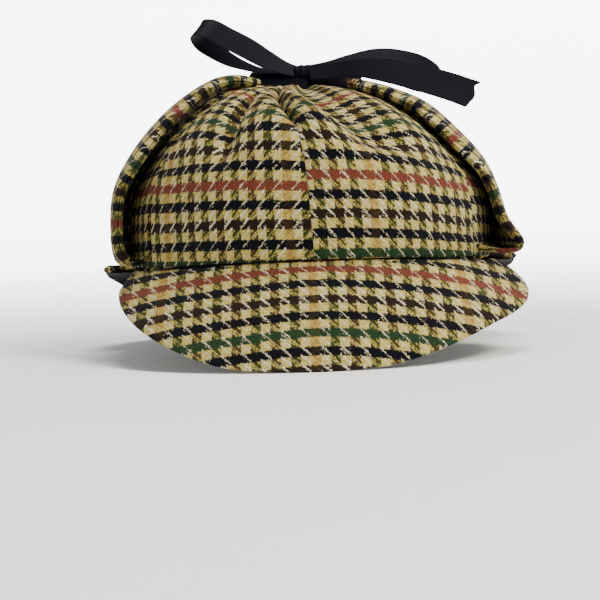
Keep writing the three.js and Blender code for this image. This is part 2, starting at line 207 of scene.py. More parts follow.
# %% Gathers and the pulled seam
GATHERS = table(
    "angle lean spread depth start full sharp",
    (0.0, 0, 5.5, 0.0050, 0.38, 0.50, True),
    (6.5, 0, 7.0, -0.0024, 0.37, 0.48, False),
    (-9.5, 0, 7.0, -0.0016, 0.36, 0.46, False),
    (26.0, -7, 17.0, 0.0100, 0.30, 0.42, False),
    (-28.0, 8, 11.0, 0.0080, 0.28, 0.42, True),
    (-46.0, 4, 15.0, -0.0016, 0.34, 0.50, False),
    (-66.0, 0, 24.0, -0.0070, 0.66, 0.82, False),
    (60.0, 0, 9.0, 0.0036, 0.34, 0.58, True),
    (-62.0, 0, 9.0, 0.0030, 0.38, 0.60, True),
    (88.0, 0, 13.0, 0.0026, 0.45, 0.68, False),
    (-86.0, 0, 11.0, 0.0024, 0.48, 0.68, False),
    (120.0, 0, 9.0, 0.0042, 0.34, 0.58, True),
    (-120.0, 0, 9.0, 0.0040, 0.34, 0.58, True),
    (148.0, 8, 15.0, 0.0062, 0.32, 0.48, False),
    (-150.0, -6, 14.0, 0.0064, 0.33, 0.50, False),
    (180.0, 0, 8.0, 0.0048, 0.36, 0.52, True),
)
GATHER_FADE = {"start": 0.55, "kept": 0.18}
LEAN_END = 0.9
PULL_REACH = math.radians(60)
SEAM_PULL = table(
    "climb turn",
    (0.00, 0.0),
    (0.09, -0.6),
    (0.18, -1.1),
    (0.30, -2.0),
    (0.42, -4.0),
    (0.48, -6.0),
    (0.54, -8.0),
    (0.63, -12.0),
    (0.72, -17.0),
    (0.82, -23.0),
    (1.00, -30.0),
)


def gather_depth(angle, climb):
    depth = 0
    kept = mix(1, GATHER_FADE["kept"], ease(climb, GATHER_FADE["start"], 1))
    for row in GATHERS:
        grown = ease(climb, row["start"], row["full"])
        middle = math.radians(row["angle"] + row["lean"] * ease(climb, row["start"], LEAN_END))
        away = abs((angle - middle + math.pi) % (2 * math.pi) - math.pi) / math.radians(row["spread"])
        if away < 1:
            shape = (1 - away) ** 2 if row["sharp"] else (1 + math.cos(math.pi * away)) / 2
            depth += row["depth"] * shape * grown * kept
    return depth


def pulled_angle(angle, climb):
    near_front = abs(angle) / PULL_REACH
    if near_front >= 1:
        return angle
    pull = math.radians(read_row(SEAM_PULL, "climb", "turn", climb))
    return angle + pull * math.cos(near_front * math.pi / 2) ** 2


def crown_skin(angle, climb, depth=0):
    real = pulled_angle(angle, climb)
    sunk = depth + gather_depth(angle, climb)
    return smooth_crown(real, climb) - crown_normal(real, climb) * sunk


print("deepest gather", max(row["depth"] for row in GATHERS))

# %% [markdown]
# A sheet of cloth starts as a flat grid. Its points are then laid on the curved surface, its UV map is
# given in threads of the flat cloth, and a Solidify modifier makes it as thick as tweed. A level of
# subdivision rounds the cut edges. The UV map holds whole thread numbers, so that one tweed material
# serves every piece and the check keeps its real size wherever it is used. Cloth could be draped by
# simulation, but sewn and tied cloth hardly moves, and so each fold lies as in the picture.

# %% Making a sheet of cloth
MERGE_DISTANCE = 0.000001
EDGE_CROWDING = 0.75


def cloth_sheet(name, across, along, place, weave, thickness, slot,
                facing_down=False, closed=False, fullness=None):
    bpy.ops.object.select_all(action="DESELECT")
    bpy.ops.mesh.primitive_grid_add(x_subdivisions=across, y_subdivisions=along, size=1)
    piece = bpy.context.object
    piece.name = name
    mesh = piece.data
    shares = [(vertex.co.x + 0.5, vertex.co.y + 0.5) for vertex in mesh.vertices]
    for vertex, (u, v) in zip(mesh.vertices, shares):
        vertex.co = place(u, v)
    threads = mesh.uv_layers.active
    threads.name = "threads"
    for loop in mesh.loops:
        threads.data[loop.index].uv = weave(*shares[loop.vertex_index])
    if fullness:
        full = piece.vertex_groups.new(name="full")
        for vertex, (u, v) in zip(mesh.vertices, shares):
            full.add([vertex.index], fullness(u, v), "REPLACE")
    bpy.ops.object.mode_set(mode="EDIT")
    bpy.ops.mesh.select_all(action="SELECT")
    if closed:
        bpy.ops.mesh.remove_doubles(threshold=MERGE_DISTANCE)
    if facing_down:
        bpy.ops.mesh.flip_normals()
    bpy.ops.object.mode_set(mode="OBJECT")
    thicken(piece, thickness)
    finish_piece(piece, name, slot)
    return piece


def thicken(piece, thickness):
    solidify = piece.modifiers.new("thickness", "SOLIDIFY")
    solidify.thickness = thickness
    solidify.offset = -1
    if piece.vertex_groups:
        solidify.vertex_group = "full"
    bpy.ops.object.modifier_apply(modifier=solidify.name)
    rounding = piece.modifiers.new("rounding", "SUBSURF")
    rounding.levels = 1
    rounding.render_levels = 1
    bpy.ops.object.modifier_apply(modifier=rounding.name)
    piece.vertex_groups.clear()


def finish_piece(piece, name, slot):
    bpy.ops.object.shade_smooth()
    node = name.split("-")[0]
    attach(piece, "root")
    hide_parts(node)
    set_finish(piece, slot)
    print(name, len(piece.data.polygons), "faces")


def edge_spaced(share):
    """Rows crowd towards both edges, where the cloth turns most."""
    return share - EDGE_CROWDING * math.sin(2 * math.pi * share) / (2 * math.pi)


# %% [markdown]
# Six gores make the crown. One dome would be quicker, but the check would run on across its seams.
# So each gore is a panel with its own piece of the check, and the pattern breaks. Near a seam the
# cloth dives inwards, which leaves the fine groove that a pressed-open seam has. The bands of the
# check follow the rim, and the twill leans one way on the three right gores and the other way on the
# three left ones, because the panels were cut in mirrored pairs.

# %% Gores
GORE_ACROSS = 46
GORE_UP = 60
SEAM_ROLL = {"reach": 0.0026, "depth": 0.0013, "overlap": 0.0005}
RIM_ROLL = {"reach": 0.0022, "depth": 0.0009}
BAND = 4
WARP_PITCH = 0.0081 / (2 * BAND)
WEFT_PITCH = 0.0080 / (2 * BAND)
FAN_MIDDLE = 0.035
GORES = table(
    "place middle mirror gold rim_thread tilt dip fan",
    ("front_right", 30, 1, -0.0170, -0.4, 0.014, 0.215, 0.0),
    ("side_right", 90, 1, 0.0040, 2.0, 0.00, 0.0, 0.0),
    ("back_right", 150, 1, -0.0100, 3.0, 0.00, 0.0, 0.0),
    ("back_left", -150, -1, 0.0100, 3.0, 0.00, 0.0, 0.0),
    ("side_left", -90, -1, -0.0060, 1.0, 0.00, 0.0, 0.0),
    ("front_left", -30, -1, 0.0353, 2.2, 0.030, 0.0, 1.7),
)


def gore(row):
    half = math.pi / len(GORES)
    middle = math.radians(row["middle"])
    ups = [index / GORE_UP for index in range(GORE_UP + 1)]
    heights = [0.0]
    for index in range(GORE_UP):
        heights.append(heights[-1] + (smooth_crown(middle, ups[index + 1])
                                      - smooth_crown(middle, ups[index])).length)
    widths = {}
    for climb in ups:
        turns = [middle + mix(-half, half, step / GORE_ACROSS) for step in range(GORE_ACROSS + 1)]
        points = [smooth_crown(pulled_angle(turn, climb), climb) for turn in turns]
        widths[climb] = sum((b - a).length for a, b in zip(points, points[1:]))

    def flat_place(u, v):
        index = round(v * GORE_UP)
        width = widths[ups[index]]
        return (edge_spaced(u) - 0.5) * width, heights[index], width

    def place(u, v):
        across, height, width = flat_place(u, v)
        to_seam = width / 2 - abs(across)
        rolled = SEAM_ROLL["depth"] * (1 - min(to_seam / SEAM_ROLL["reach"], 1)) ** 2
        rolled += RIM_ROLL["depth"] * (1 - min(height / RIM_ROLL["reach"], 1)) ** 2
        angle = middle + mix(-half, half, edge_spaced(u))
        outwards = Vector((crown_half_width * math.cos(angle), crown_half_length * math.sin(angle), 0))
        overlap = outwards.normalized() * SEAM_ROLL["overlap"] * (2 * u - 1)
        return crown_skin(angle, v, rolled) + overlap

    def weave(u, v):
        across, height, width = flat_place(u, v)
        warp = row["mirror"] * (across - row["gold"]) / WARP_PITCH + BAND / 2
        height *= 1 + row["fan"] * (across - FAN_MIDDLE)
        weft = (height + row["tilt"] * across + row["dip"] * across ** 2) / WEFT_PITCH + row["rim_thread"]
        return warp, weft

    cloth_sheet("gore_" + row["place"] + "-cloth", GORE_ACROSS, GORE_UP, place, weave, CLOTH, "tweed")


for row in GORES:
    gore(row)

# %% [markdown]
# Each peak is a stiff board under one layer of tweed that is turned over its edge, with thin dark
# satin below. It could be drawn out of the crown's rim, but a board of its own has the real one's
# thickness and its crease at the seam, where it tucks in under the crown. Its edge follows a short
# table by angle. The check lies straight on the cut cloth, so on the bent peak its columns stand
# upright and its bands sag away from the seam towards the ends.

# %% Peaks
PEAK_END = math.radians(76)
PEAK_AROUND = 120
PEAK_OUT = 26
PEAK_BOARD = 0.0028
PEAK_ROOT = 0.0004
PEAK_TUCK = -0.05
PEAK_CROWDING = 1.6
PEAK_BOW_OUT = 0.4
PEAK_BOW_DROP = 0.1
PEAK_SOFTNESS = 0.0006
PEAK_EDGE_HEIGHT = 0.0008
PEAK_EDGES = {
    "left": table(
        "angle out drop",
        (0, 0.0410, 0.0443), (12, 0.0402, 0.0429), (22, 0.0380, 0.0389),
        (31, 0.0342, 0.0330), (40, 0.0290, 0.0271), (50, 0.0220, 0.0215),
        (60, 0.0155, 0.0165), (68, 0.0100, 0.0125), (76, 0.0030, 0.0090),
    ),
    "right": table(
        "angle out drop",
        (0, 0.0410, 0.0443), (12, 0.0396, 0.0424), (22, 0.0370, 0.0379),
        (31, 0.0342, 0.0329), (40, 0.0310, 0.0283), (50, 0.0268, 0.0254),
        (60, 0.0238, 0.0214), (68, 0.0192, 0.0164), (76, 0.0100, 0.0090),
    ),
    "back": table(
        "angle out drop",
        (0, 0.0410, 0.0443), (12, 0.0405, 0.0429), (22, 0.0385, 0.0385),
        (31, 0.0355, 0.0325), (40, 0.0320, 0.0265), (50, 0.0285, 0.0195),
        (60, 0.0258, 0.0112), (68, 0.0236, 0.0058), (76, 0.0150, 0.0028),
    ),
}


def peak_point(place, angle, out, depth, floor=PEAK_EDGE_HEIGHT):
    degrees = abs(math.degrees(angle))
    hand = "back" if place == "back" else ("left" if angle < 0 else "right")
    reach = read_row(PEAK_EDGES[hand], "angle", "out", degrees)
    root = smooth_crown(angle, 0)
    fall = read_row(PEAK_EDGES[hand], "angle", "drop", degrees) - (front_rim - root.z)
    direction = Vector((math.sin(angle) / crown_half_width, -math.cos(angle) / crown_half_length, 0))
    direction.normalize()
    along = reach * (out * (1 + PEAK_BOW_OUT) - out * out * PEAK_BOW_OUT)
    down = fall * (out * (1 + PEAK_BOW_DROP) - out * out * PEAK_BOW_DROP)
    slope_out = reach * (1 + PEAK_BOW_OUT - 2 * out * PEAK_BOW_OUT)
    slope_down = fall * (1 + PEAK_BOW_DROP - 2 * out * PEAK_BOW_DROP)
    slope = math.hypot(slope_out, slope_down)
    sideways = PEAK_ROOT + along - depth * slope_down / slope
    point = root + direction * sideways + Vector((0, 0, -down - depth * slope_out / slope))
    above = point.z - floor
    point.z = floor + (above + math.hypot(above, PEAK_SOFTNESS)) / 2
    return Vector((-point.x, -point.y, point.z)) if place == "back" else point


def out_share(share):
    """Rows crowd towards the edge, and the first ones are tucked in under the crown."""
    return mix(PEAK_TUCK, 1, 1 - (1 - share) ** PEAK_CROWDING)


print("front peak's tip", peak_point("front", 0, 1, 0))

# %% The peak's check
PEAK_WARP_PITCH = 0.00803 / (2 * BAND)
PEAK_WEFT_PITCH = 0.0090 / (2 * BAND)
PEAK_GOLD = -0.0013
PEAK_RED_DOWN = 0.0043
PEAK_SPLAY = 0.03
PEAK_SAG = {
    "left": {"depth": 0.0155, "at": 0.085, "power": 1.6},
    "right": {"depth": 0.0235, "at": 0.091, "power": 1.8},
}
RED_BAND = 8 * BAND + BAND / 2


def peak_weave(place):
    def weave(u, v):
        angle = mix(-PEAK_END, PEAK_END, u)
        out = out_share(v)
        point = peak_point(place, angle, out, 0)
        down = (point - peak_point(place, angle, 0, 0)).length
        sag = PEAK_SAG["left" if point.x < 0 else "right"]
        bowed = sag["depth"] * (abs(point.x) / sag["at"]) ** sag["power"]
        straight = point.x / (1 + PEAK_SPLAY * (out - 0.5))
        return ((straight - PEAK_GOLD) / PEAK_WARP_PITCH + BAND / 2,
                (PEAK_RED_DOWN + bowed - down) / PEAK_WEFT_PITCH + RED_BAND)

    return weave


# %% Peak boards and linings
EDGE_TURN = {"reach": 0.07, "depth": 0.0006, "fullness": 0.12}
END_TURN = {"reach": 0.02, "depth": 0.0006}
CREASE = {"reach": 0.035, "depth": 0.0018}
LINING = {"thickness": 0.0008, "depth": 0.0032, "length": 0.90, "span": 0.985, "around": 80, "out": 16}
LINING_THREADS = {"around": 100, "out": 40}


def peak(place):
    def board(u, v):
        out = out_share(v)
        turned = EDGE_TURN["depth"] * max(0, (out - 1 + EDGE_TURN["reach"]) / EDGE_TURN["reach"]) ** 3
        turned += END_TURN["depth"] * max(0, 1 - min(u, 1 - u) / END_TURN["reach"]) ** 2
        turned += CREASE["depth"] * (1 - ease(out, 0, CREASE["reach"]))
        return peak_point(place, mix(-PEAK_END, PEAK_END, u), out, turned)

    def lining(u, v):
        end = PEAK_END * LINING["span"]
        angle = mix(-end, end, u)
        return peak_point(place, angle, v * LINING["length"], LINING["depth"], LINING["thickness"])

    def lining_weave(u, v):
        return u * LINING_THREADS["around"], v * LINING_THREADS["out"]

    def fullness(u, v):
        to_end = min(u, 1 - u) / END_TURN["reach"]
        to_edge = (1 - out_share(v)) / EDGE_TURN["reach"]
        return mix(EDGE_TURN["fullness"], 1, min(to_edge, to_end, 1))

    cloth_sheet(place + "_peak-cloth", PEAK_AROUND, PEAK_OUT, board, peak_weave(place), PEAK_BOARD, "tweed",
                facing_down=True, fullness=fullness)
    cloth_sheet(place + "_peak_lining-satin", LINING["around"], LINING["out"], lining, lining_weave,
                LINING["thickness"], "satin_lining", facing_down=True)


peak("front")
peak("back")

# %% [markdown]
# Each ear flap is two layers of tweed sewn together round the edge and turned out, then folded up
# against the crown from its root at the rim. Both layers curl towards each other at the edge, so from
# the front the flap shows two soft bands with a dark line between them. A solid slab would show one
# hard edge. The flap's path is a curve through a few rows, walked by its true length, so the check
# isn't stretched where the rows lie far apart.

# %% A smooth curve through rows
COURSE_STEP = 0.004
LEAST_SPAN = 0.000001


def curve_through(points, steps_each=24):
    """Points along a centripetal Catmull-Rom curve, with each one's place among the rows."""
    first = points[0] * 2 - points[1]
    last = points[-1] * 2 - points[-2]
    padded = [first] + points + [last]
    found = []
    for index in range(len(points) - 1):
        a, b, c, d = padded[index:index + 4]
        near = max((b - a).length ** 0.5, LEAST_SPAN)
        span = max((c - b).length ** 0.5, LEAST_SPAN)
        far = max((d - c).length ** 0.5, LEAST_SPAN)
        leave = ((b - a) / near - (c - a) / (near + span) + (c - b) / span) * span
        arrive = ((c - b) / span - (d - b) / (span + far) + (d - c) / far) * span
        for step in range(steps_each):
            t = step / steps_each
            place = (b + leave * t + (b * -3 + c * 3 - leave * 2 - arrive) * t ** 2
                     + (b * 2 - c * 2 + leave + arrive) * t ** 3)
            found.append((place, (index + t) / (len(points) - 1)))
    found.append((points[-1], 1.0))
    return found


def walk(found):
    """The curve again as rows by share of its length."""
    lengths = [0.0]
    for (a, _), (b, _) in zip(found, found[1:]):
        lengths.append(lengths[-1] + (b - a).length)
    rows = [{"way": length / lengths[-1], "x": place.x, "y": place.y, "z": place.z, "mark": mark}
            for (place, mark), length in zip(found, lengths)]
    return rows, lengths[-1]


def point_on(rows, way):
    low = 0
    high = len(rows) - 1
    while high - low > 1:
        middle = (low + high) // 2
        if rows[middle]["way"] <= way:
            low = middle
        else:
            high = middle
    first, second = rows[low], rows[high]
    share = (way - first["way"]) / (second["way"] - first["way"])
    return (Vector([mix(first[axis], second[axis], share) for axis in "xyz"]),
            mix(first["mark"], second["mark"], share))


def heading_on(rows, way):
    """The curve's direction, from a point a little before to one a little after."""
    return point_on(rows, min(way + COURSE_STEP, 1))[0] - point_on(rows, max(way - COURSE_STEP, 0))[0]


# %% The flaps' rows
SIDES = {"left": -1, "right": 1}
FLAP_ROWS = {
    "left": table(
        "x z half",
        (0.0815, 0.0450, 0.050), (0.0830, 0.0425, 0.050), (0.0855, 0.0412, 0.050),
        (0.0885, 0.0416, 0.050), (0.0904, 0.0450, 0.050),
        (0.0912, 0.0620, 0.050), (0.0890, 0.0770, 0.050), (0.0820, 0.0905, 0.048),
        (0.0704, 0.1050, 0.043), (0.0550, 0.1180, 0.036), (0.0402, 0.1256, 0.028),
        (0.0300, 0.1264, 0.023), (0.0230, 0.1246, 0.017), (0.0190, 0.1232, 0.008),
    ),
    "right": table(
        "x z half",
        (0.0815, 0.0450, 0.050), (0.0830, 0.0425, 0.050), (0.0855, 0.0412, 0.050),
        (0.0885, 0.0416, 0.050), (0.0904, 0.0450, 0.050),
        (0.0890, 0.0600, 0.050), (0.0856, 0.0730, 0.050), (0.0800, 0.0854, 0.048),
        (0.0696, 0.0980, 0.043), (0.0555, 0.1110, 0.036), (0.0400, 0.1182, 0.028),
        (0.0290, 0.1216, 0.023), (0.0220, 0.1228, 0.017), (0.0180, 0.1228, 0.008),
    ),
}
FLAP_FLARE = {"left": 0.0, "right": 0.0088}
FLARE_INSIDE = 0.2
FLARE_START = 0.01
FLARE_PEAK = 0.06
FLARE_END = 0.22
GROWTH_END = 0.14
FLAP_HUG = {"start": 0.005, "full": 0.044, "room": 0.0060, "fades_from": 0.55, "gone_at": 0.85}
FLAP_ROOT_GROWTH = 0.0175
FLAP_SIDE_GROWTH = 0.084
FLAP_TOP_GROWTH = {"left": 0.070, "right": 0.036}
TOP_START = 0.30
TOP_END = 0.52
FLAP_TOP_RADIUS = 0.190
FLAP_PLY = 0.0022
FACING_DEPTH = 0.0026
FACING_START = 0.065
FLAP_ACROSS = 44
FLAP_ALONG = 90
FLAP_CURL = 0.0020
FLAP_EDGE = {"reach": 0.0042, "fullness": 0.10}
FLAP_CROWDING = 1.3


# %% The crown's side at any depth and height
HALVINGS = 18


def climb_at(z, rim, rise):
    low, high = 0.0, 1.0
    for _ in range(HALVINGS):
        middle = (low + high) / 2
        if mix(rim, apex, crown_row(rise, middle)) < z:
            low = middle
        else:
            high = middle
    return low


def crown_side(hand, y, z):
    half_width = crown_half_width * crown_row(hand + "_reach", climb_at(z, side_rim, hand + "_rise"))
    half_length = crown_half_length * crown_row("front_reach", climb_at(z, front_rim, "front_rise"))
    return half_width * math.sqrt(max(1 - (y / half_length) ** 2, 0))


# %% Flaps
def flap_surface(hand):
    rows = FLAP_ROWS[hand]
    side = SIDES[hand]
    course, length = walk(curve_through([Vector((row["x"], row["half"], row["z"])) for row in rows]))

    def surface(across, way, depth):
        point, _ = point_on(course, way)
        tangent = heading_on(course, way)
        steep = math.hypot(tangent.x, tangent.z)
        out_x = tangent.z / steep
        out_z = -tangent.x / steep
        y = across * point.y
        lift = (front_rim - side_rim) * (y / crown_half_length) ** 2
        settled = 1 - ease(way, FLARE_PEAK, FLARE_END)
        flaring = ease(way, FLARE_START, FLARE_PEAK) * settled
        flare = FLAP_FLARE[hand] * flaring * ease(abs(across), FLARE_INSIDE, 1)
        middle_x = point.x - out_x * depth
        growth = mix(FLAP_ROOT_GROWTH, FLAP_SIDE_GROWTH, ease(way, FLARE_START, GROWTH_END))
        growth = mix(growth, FLAP_TOP_GROWTH[hand], ease(way, TOP_START, TOP_END))
        plan = middle_x * math.sqrt(1 - (y / (middle_x + growth)) ** 2)
        sag = y * y / (2 * FLAP_TOP_RADIUS) * max(out_z, 0)
        z = point.z - out_z * depth - sag + lift * settled
        hug = ease(y, FLAP_HUG["start"], FLAP_HUG["full"]) * ease(way, FLARE_START, FLARE_PEAK)
        hug *= 1 - ease(out_z, FLAP_HUG["fades_from"], FLAP_HUG["gone_at"])
        held = crown_side(hand, y, z) + (FLAP_HUG["room"] - depth)
        return Vector((side * mix(plan + flare, min(held, plan + flare), hug), y, z))

    return surface, course, length


FLAP_CHECK = {
    "left": {"gold": 0.0085, "weft": 4.7},
    "right": {"gold": -0.0010, "weft": 26.7},
}


def flap_layer(hand, layer):
    surface, course, length = flap_surface(hand)
    start = FACING_START if layer == "facing" else 0
    depth = FACING_DEPTH if layer == "facing" else 0
    curl = 0 if layer == "facing" else FLAP_CURL
    side = SIDES[hand]

    def way_at(v):
        return mix(start, 1, 1 - (1 - v) ** FLAP_CROWDING)

    def edge_share(u, v):
        """1 on the flap's edge, falling to 0 where the cloth lies flat."""
        way = way_at(v)
        point, _ = point_on(course, way)
        to_edge = min(point.y * (1 - abs(2 * edge_spaced(u) - 1)), (1 - way) * length)
        return (1 - min(to_edge / FLAP_EDGE["reach"], 1)) ** 2

    def place(u, v):
        across = side * (2 * edge_spaced(u) - 1)
        return surface(across, way_at(v), depth + curl * edge_share(u, v))

    def fullness(u, v):
        return mix(1, FLAP_EDGE["fullness"], edge_share(u, v))

    def weave(u, v):
        way = way_at(v)
        across = side * (2 * edge_spaced(u) - 1)
        point, _ = point_on(course, way)
        check = FLAP_CHECK[hand]
        return ((across * point.y - check["gold"]) / WARP_PITCH + BAND / 2,
                way * length / WEFT_PITCH + check["weft"])

    name = "ear_flap_" + hand + ("_facing" if layer == "facing" else "")
    cloth_sheet(name + "-cloth", FLAP_ACROSS, FLAP_ALONG, place, weave, FLAP_PLY, "tweed", fullness=fullness)
    print(name, "is", round(length, 4), "m from root to tip")


for hand in SIDES:
    for layer in ("outer", "facing"):
        flap_layer(hand, layer)

# %% [markdown]
# The flaps are held up by a satin ribbon tied in a bow. Every run of ribbon is one strip of even width
# that follows its own smooth curve, with a direction across it at each row, so it can twist as the real
# one does. A curve with a flat bevel would twist by itself where it bends. The ribbon is drawn in at
# the knot, and its length along the curve is the length that was cut.

# %% The ribbon's rows
RIBBON_ROWS = {
    "ribbon_tie_left": table(
        "x y z wide across_x across_z",
        (-0.0260, -0.006, 0.1246, 0.0100, 0.10, 0.62), (-0.0200, -0.007, 0.1232, 0.0100, 0.10, 0.74),
        (-0.0130, -0.0082, 0.1226, 0.0096, 0.05, 0.82), (0.0010, -0.0082, 0.1224, 0.0092, 0.05, 0.86),
    ),
    "ribbon_tie_right": table(
        "x y z wide across_x across_z",
        (0.0260, -0.006, 0.1214, 0.0100, 0.00, 0.62), (0.0200, -0.007, 0.1220, 0.0100, 0.00, 0.74),
        (0.0130, -0.0076, 0.1222, 0.0096, 0.00, 0.82), (-0.0010, -0.0076, 0.1222, 0.0092, 0.00, 0.86),
    ),
    "bow_loop_left": table(
        "x y z wide across_x across_z",
        (-0.0040, -0.006, 0.1270, 0.008, 0.42, 0.55), (-0.0100, -0.006, 0.1290, 0.010, 0.42, 0.55),
        (-0.0170, -0.005, 0.1326, 0.013, 0.42, 0.55), (-0.0260, -0.004, 0.1383, 0.015, 0.42, 0.55),
        (-0.0355, -0.004, 0.1437, 0.015, 0.42, 0.54), (-0.0440, -0.004, 0.1482, 0.015, 0.43, 0.53),
        (-0.0486, -0.003, 0.1480, 0.015, 0.42, 0.50), (-0.0474, 0.000, 0.1436, 0.015, 0.38, 0.46),
        (-0.0400, 0.004, 0.1376, 0.015, 0.32, 0.42), (-0.0310, 0.007, 0.1324, 0.014, 0.22, 0.34),
        (-0.0210, 0.007, 0.1286, 0.011, 0.12, 0.26), (-0.0120, 0.003, 0.1266, 0.008, 0.06, 0.22),
        (-0.0040, -0.001, 0.1256, 0.006, 0.05, 0.20),
    ),
    "bow_loop_right": table(
        "x y z wide across_x across_z",
        (0.0020, -0.002, 0.1285, 0.007, -0.05, 0.40), (0.0120, 0.001, 0.1294, 0.010, -0.10, 0.46),
        (0.0220, 0.004, 0.1312, 0.013, -0.14, 0.52), (0.0340, 0.006, 0.1330, 0.015, -0.18, 0.54),
        (0.0460, 0.006, 0.1320, 0.015, -0.18, 0.54), (0.0570, 0.006, 0.1284, 0.015, -0.18, 0.54),
        (0.0630, 0.006, 0.1232, 0.015, -0.16, 0.50), (0.0610, 0.0065, 0.1186, 0.015, -0.12, 0.45),
        (0.0520, 0.007, 0.1188, 0.015, -0.08, 0.38), (0.0400, 0.008, 0.1224, 0.014, -0.05, 0.28),
        (0.0280, 0.008, 0.1254, 0.012, -0.02, 0.20), (0.0170, 0.007, 0.1262, 0.009, 0.00, 0.16),
        (0.0080, 0.003, 0.1256, 0.006, 0.00, 0.14), (0.0020, 0.000, 0.1252, 0.006, 0.00, 0.14),
    ),
    "bow_tail_front": table(
        "x y z wide across_x across_z",
        (0.0020, -0.0090, 0.1260, 0.0090, 0.00, 0.80), (0.0120, -0.0100, 0.1266, 0.0090, -0.02, 0.82),
        (0.0240, -0.0115, 0.1274, 0.0105, -0.02, 0.84), (0.0380, -0.0125, 0.1256, 0.0140, 0.05, 0.84),
        (0.0520, -0.0130, 0.1218, 0.0150, 0.12, 0.85), (0.0650, -0.0130, 0.1176, 0.0150, 0.20, 0.86),
        (0.0780, -0.0130, 0.1126, 0.0150, 0.30, 0.86),
    ),
    "bow_tail_back": table(
        "x y z wide across_x across_z",
        (-0.0010, -0.001, 0.1236, 0.008, 0.98, 0.00), (-0.0010, 0.008, 0.1232, 0.009, 0.98, 0.00),
        (-0.0010, 0.018, 0.1222, 0.012, 0.98, 0.00), (-0.0020, 0.030, 0.1219, 0.015, 0.98, 0.00),
        (-0.0050, 0.046, 0.1206, 0.015, 0.98, 0.00), (-0.0090, 0.062, 0.1180, 0.015, 0.97, 0.00),
        (-0.0130, 0.077, 0.1140, 0.015, 0.96, 0.00),
    ),
}
RIBBON_WIDTH = 0.015
RIBBON_THICKNESS = 0.0004
RIBBON_ACROSS = 10
RIBBON_STEP = 0.0009
THREADS_PER_METRE = 1000
LEAST_AREA_SHARE = 0.3


# %% Ribbon strips
TAIL_CUT = table(
    "share back",
    (0.0, 0.0035), (0.2, 0.0026), (0.45, 0.0012), (0.6, 0.0016), (0.8, 0.0030), (0.9, 0.0014), (1.0, 0.0000),
)


def ribbon(name, held):
    rows = RIBBON_ROWS[name]
    found = curve_through([Vector((row["x"], row["y"], row["z"])) for row in rows])
    course, length = walk(found)
    marks = [dict(row, mark=index / (len(rows) - 1)) for index, row in enumerate(rows)]

    def place(u, v):
        if "tail" in name:
            v *= 1 - read_row(TAIL_CUT, "share", "back", u) / length
        point, mark = point_on(course, v)
        tangent = heading_on(course, v).normalized()
        across_x = read_row(marks, "mark", "across_x", mark)
        across_z = read_row(marks, "mark", "across_z", mark)
        across = Vector((across_x, math.sqrt(1 - across_x ** 2 - across_z ** 2), across_z))
        across = (across - tangent * across.dot(tangent)).normalized()
        face = tangent.cross(across)
        width = read_row(marks, "mark", "wide", mark)
        return point + across * width * (u - 0.5) - face * RIBBON_THICKNESS / 2

    def weave(u, v):
        return u * RIBBON_WIDTH * THREADS_PER_METRE, v * length * THREADS_PER_METRE

    steps = math.ceil(length / RIBBON_STEP)
    piece = cloth_sheet(name + "-satin", RIBBON_ACROSS, steps, place, weave, RIBBON_THICKNESS, "satin_ribbon")
    area = sum(read_row(marks, "mark", "wide", row["mark"]) for row in course) / len(course) * length
    flat = RIBBON_WIDTH * length
    min(max(area, LEAST_AREA_SHARE * flat), flat)
    print(name, "is", round(length, 4), "m long")


for name in RIBBON_ROWS:
    ribbon(name, "stretched" if "tie" in name else "folded")

# %% [markdown]
# The knot is one turn of the ribbon pulled tight round the rest. A ring from the menu would look like
# a washer, so it is a band wrapped once about the middle, which narrows to both sides and has soft
# creases that run round with it.

# %% Knot
knot_low, knot_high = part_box("bow_knot")
KNOT_AROUND = 64
KNOT_ACROSS = 20
KNOT_CREASES = 5
KNOT_THREADS = 40
KNOT = {"wide": 0.72, "deep": 0.62, "high": 0.86, "core": 0.25, "rounding": 0.45, "crease": 0.07, "sway": 0.8}


def knot():
    middle = (knot_low + knot_high) / 2
    half = (knot_high - knot_low) / 2

    def place(u, v):
        turn = 2 * math.pi * v
        side = math.pi * (u - 0.5)
        wave = math.sin(2 * math.pi * KNOT_CREASES * u + KNOT["sway"] * math.sin(turn))
        at_end = abs(side) > math.pi / 2 - MERGE_DISTANCE
        round_off = 0.0 if at_end else math.cos(side) ** KNOT["rounding"]
        swell = mix(KNOT["core"], 1, round_off) * (1 + KNOT["crease"] * wave)
        return middle + Vector((half.x * KNOT["wide"] * math.sin(side),
                                half.y * KNOT["deep"] * swell * math.cos(turn),
                                half.z * KNOT["high"] * swell * math.sin(turn)))

    def weave(u, v):
        return u * RIBBON_WIDTH * THREADS_PER_METRE, v * KNOT_THREADS

    cloth_sheet("bow_knot-satin", KNOT_ACROSS, KNOT_AROUND, place, weave, RIBBON_THICKNESS,
                "satin_ribbon", facing_down=True, closed=True)


knot()

# %% [markdown]
# Shader sums read best as ordinary sums. A small class wraps one output of a node and takes over the
# usual signs, so that "warp % 4 < 2" builds the Modulo and Less Than nodes by itself.

